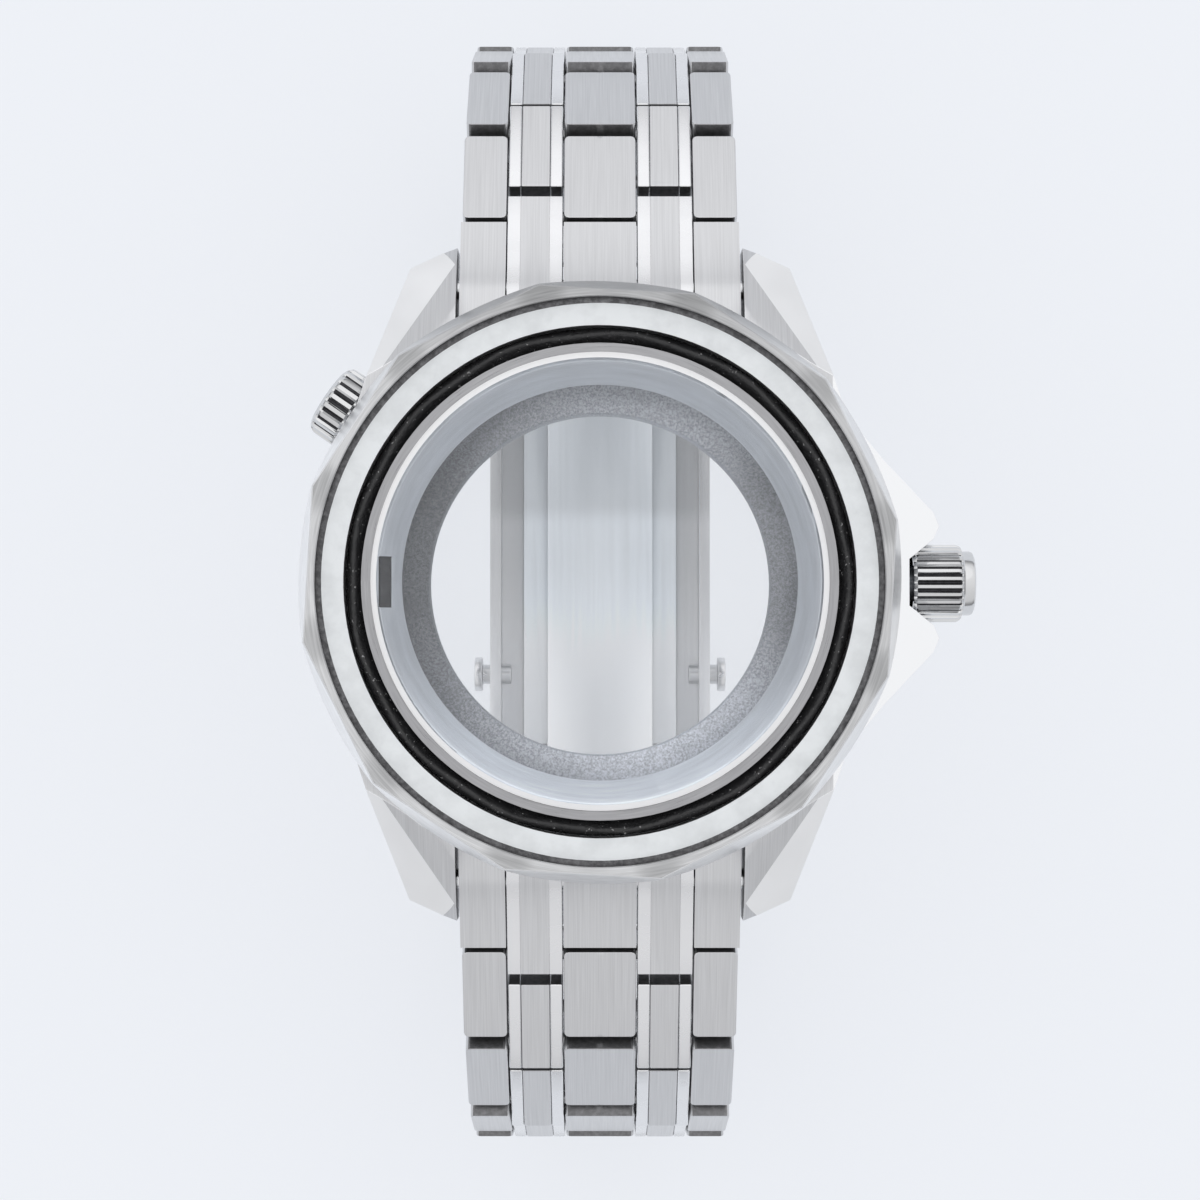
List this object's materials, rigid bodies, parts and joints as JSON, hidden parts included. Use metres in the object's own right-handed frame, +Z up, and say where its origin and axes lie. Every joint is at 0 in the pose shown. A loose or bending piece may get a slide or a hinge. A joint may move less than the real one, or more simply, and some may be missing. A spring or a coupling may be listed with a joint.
{
  "type": "watch case",
  "caption": "Empty steel diver's watch case with a bare turning bezel, clear crystal and back, screw-down crown and valve, on its closed folding-clasp bracelet.",
  "frame": {"origin": "on the case axis at the dial seat, the top of the movement bore", "axes": "+X to 3 o'clock, +Y to 12 o'clock, +Z up out of the crystal"},
  "size_m": [0.0462, 0.0838, 0.0451],
  "materials": {
    "brushed_steel": "brushed",
    "polished_steel": "polished",
    "blasted_steel": "blasted",
    "lacquered_ring": "satin",
    "sapphire": "clear",
    "rubber": "glossy",
    "adhesive": "matt"
  },
  "bodies": {
    "case": {"mid_case": "brushed_steel", "bezel_gasket": "rubber", "rehaut_ring": "lacquered_ring", "crystal": "sapphire", "crown_tube": "blasted_steel", "end_link_12": "brushed_steel", "end_link_6": "brushed_steel", "lug_spring_bars": "polished_steel"},
    "bezel": {"bezel": "brushed_steel", "bezel_adhesive_ring": "adhesive"},
    "case_back": {"case_back_ring": "blasted_steel", "case_back_glass": "sapphire"},
    "winding_stem": {"winding_stem": "polished_steel"},
    "crown": {"crown": "polished_steel"},
    "valve_stem": {"valve_stem": "blasted_steel"},
    "valve_knob": {"valve_knob": "polished_steel"},
    "link_12_1": {"link_12_1": "brushed_steel"},
    "link_12_2": {"link_12_2": "brushed_steel"},
    "link_12_3": {"link_12_3": "brushed_steel"},
    "link_12_4": {"link_12_4": "brushed_steel"},
    "link_12_5": {"link_12_5": "brushed_steel"},
    "link_12_6": {"link_12_6": "brushed_steel", "bracelet_end_pin": "polished_steel"},
    "link_6_1": {"link_6_1": "brushed_steel"},
    "link_6_2": {"link_6_2": "brushed_steel"},
    "link_6_3": {"link_6_3": "brushed_steel"},
    "link_6_4": {"link_6_4": "brushed_steel"},
    "link_6_5": {"link_6_5": "brushed_steel"},
    "link_6_6": {"link_6_6": "brushed_steel"},
    "link_6_7": {"link_6_7": "brushed_steel"},
    "clasp_cover": {"clasp_cover": "brushed_steel", "clasp_spring_bar": "polished_steel", "clasp_cover_hinge_pin": "polished_steel"},
    "clasp_outer_blade": {"clasp_outer_blade": "polished_steel", "clasp_blade_hinge_pin": "polished_steel"},
    "clasp_inner_blade": {"clasp_inner_blade": "polished_steel"},
    "clasp_button_3": {"clasp_button_3": "polished_steel"},
    "clasp_button_9": {"clasp_button_9": "polished_steel"}
  },
  "joints": [
    {"name": "bezel_turn", "type": "hinge", "parent": "case", "child": "bezel", "pos_m": [0, 0, 0.0025], "axis": [0, 0, 1], "continuous": true},
    {"name": "case_back_lift", "type": "slide", "parent": "case", "child": "case_back", "axis": [0, 0, -1], "range_m": [0, 0.008]},
    {"name": "crown_pull", "type": "slide", "parent": "case", "child": "winding_stem", "axis": [1, 0, 0], "range_m": [0, 0.0016]},
    {"name": "crown_turn", "type": "hinge", "parent": "winding_stem", "child": "crown", "pos_m": [0.0237, 0, -0.0029], "axis": [1, 0, 0], "continuous": true},
    {"name": "valve_lift", "type": "slide", "parent": "case", "child": "valve_stem", "axis": [-0.8241, 0.5664, 0], "range_m": [0, 0.00075]},
    {"name": "valve_turn", "type": "hinge", "parent": "valve_stem", "child": "valve_knob", "pos_m": [-0.01805, 0.0124, -0.0029], "axis": [-0.8241, 0.5664, 0], "continuous": true},
    {"name": "pin_12_1", "type": "hinge", "parent": "case", "child": "link_12_1", "pos_m": [0, 0.02605, -0.0063], "axis": [1, 0, 0], "range_deg": [0, 3.9]},
    {"name": "pin_12_2", "type": "hinge", "parent": "link_12_1", "child": "link_12_2", "pos_m": [0, 0.03262, -0.00956], "axis": [1, 0, 0], "range_deg": [0, 20.6]},
    {"name": "pin_12_3", "type": "hinge", "parent": "link_12_2", "child": "link_12_3", "pos_m": [0, 0.03762, -0.01492], "axis": [1, 0, 0], "range_deg": [0, 24.7]},
    {"name": "pin_12_4", "type": "hinge", "parent": "link_12_3", "child": "link_12_4", "pos_m": [0, 0.03992, -0.02188], "axis": [1, 0, 0], "range_deg": [0, 23.7]},
    {"name": "pin_12_5", "type": "hinge", "parent": "link_12_4", "child": "link_12_5", "pos_m": [0, 0.03923, -0.02918], "axis": [1, 0, 0], "range_deg": [0, 28.2]},
    {"name": "pin_12_6", "type": "hinge", "parent": "link_12_5", "child": "link_12_6", "pos_m": [0, 0.03517, -0.03528], "axis": [1, 0, 0], "range_deg": [0, 32.32]},
    {"name": "pin_6_1", "type": "hinge", "parent": "case", "child": "link_6_1", "pos_m": [0, -0.02605, -0.0063], "axis": [-1, 0, 0], "range_deg": [0, 3.9]},
    {"name": "pin_6_2", "type": "hinge", "parent": "link_6_1", "child": "link_6_2", "pos_m": [0, -0.03262, -0.00956], "axis": [-1, 0, 0], "range_deg": [0, 20.6]},
    {"name": "pin_6_3", "type": "hinge", "parent": "link_6_2", "child": "link_6_3", "pos_m": [0, -0.03762, -0.01492], "axis": [-1, 0, 0], "range_deg": [0, 24.7]},
    {"name": "pin_6_4", "type": "hinge", "parent": "link_6_3", "child": "link_6_4", "pos_m": [0, -0.03992, -0.02188], "axis": [-1, 0, 0], "range_deg": [0, 23.7]},
    {"name": "pin_6_5", "type": "hinge", "parent": "link_6_4", "child": "link_6_5", "pos_m": [0, -0.03923, -0.02918], "axis": [-1, 0, 0], "range_deg": [0, 28.2]},
    {"name": "pin_6_6", "type": "hinge", "parent": "link_6_5", "child": "link_6_6", "pos_m": [0, -0.03517, -0.03528], "axis": [-1, 0, 0], "range_deg": [0, 28.2]},
    {"name": "pin_6_7", "type": "hinge", "parent": "link_6_6", "child": "link_6_7", "pos_m": [0, -0.02871, -0.03875], "axis": [-1, 0, 0], "range_deg": [0, 28.2]},
    {"name": "clasp_swing", "type": "hinge", "parent": "link_6_7", "child": "clasp_cover", "pos_m": [0, -0.02138, -0.03875], "axis": [-1, 0, 0], "range_deg": [0, 12]},
    {"name": "outer_blade_fold", "type": "hinge", "parent": "clasp_cover", "child": "clasp_outer_blade", "pos_m": [0, 0.02398, -0.0383], "axis": [-1, 0, 0], "range_deg": [0, 30]},
    {"name": "inner_blade_fold", "type": "hinge", "parent": "clasp_outer_blade", "child": "clasp_inner_blade", "pos_m": [0, -0.0135, -0.03795], "axis": [1, 0, 0], "range_deg": [0, 30]},
    {"name": "button_3_press", "type": "slide", "parent": "clasp_cover", "child": "clasp_button_3", "axis": [-1, 0, 0], "range_m": [0, 0.00055], "stiffness_N_per_m": 300},
    {"name": "button_9_press", "type": "slide", "parent": "clasp_cover", "child": "clasp_button_9", "axis": [1, 0, 0], "range_m": [0, 0.00055], "stiffness_N_per_m": 300}
  ],
  "couplings": [
    {"joint": "inner_blade_fold", "follows": "outer_blade_fold", "ratio": 1}
  ]
}
